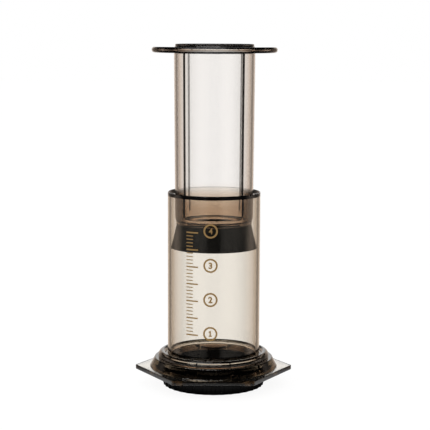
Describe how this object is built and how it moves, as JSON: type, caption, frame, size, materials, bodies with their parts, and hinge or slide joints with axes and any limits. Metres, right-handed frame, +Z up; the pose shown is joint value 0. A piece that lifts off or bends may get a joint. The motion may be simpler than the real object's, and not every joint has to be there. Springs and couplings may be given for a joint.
{
  "type": "piston coffee press",
  "caption": "Hand-pushed piston coffee press: clear smoked chamber with a hexagonal flange, hollow plunger with a rubber seal, and a twist-off perforated filter cap.",
  "frame": {"origin": "on the press's axis, at the underside of the filter cap, which is the face it stands on", "axes": "+Z up along the plunger's stroke, +X to the right through a corner of the hexagonal flange, -Y towards the viewer, the side with the volume marks"},
  "size_m": [0.1034, 0.09, 0.2245],
  "materials": {
    "smoked_clear_plastic": "polished, see-through, smoked brown",
    "clear_grey_plastic": "polished, see-through, faint grey",
    "seal_rubber": "satin black rubber",
    "black_plastic": "semi-matt black moulding"
  },
  "bodies": {
    "chamber_body": {"chamber": "smoked_clear_plastic"},
    "seal_body": {"plunger_seal": "seal_rubber"},
    "plunger_body": {"plunger": "clear_grey_plastic"},
    "cap_body": {"filter_cap": "black_plastic"}
  },
  "joints": [
    {"name": "press_stroke", "type": "slide", "parent": "chamber_body", "child": "seal_body", "axis": [0, 0, 1], "range_m": [-0.0875, 0.045]},
    {"name": "plunger_twist", "type": "hinge", "parent": "seal_body", "child": "plunger_body", "pos_m": [0, 0, 0.1], "axis": [0, 0, 1], "continuous": true},
    {"name": "cap_twist", "type": "hinge", "parent": "chamber_body", "child": "cap_body", "pos_m": [0, 0, 0.01], "axis": [0, 0, -1], "range_deg": [0, 36]}
  ]
}
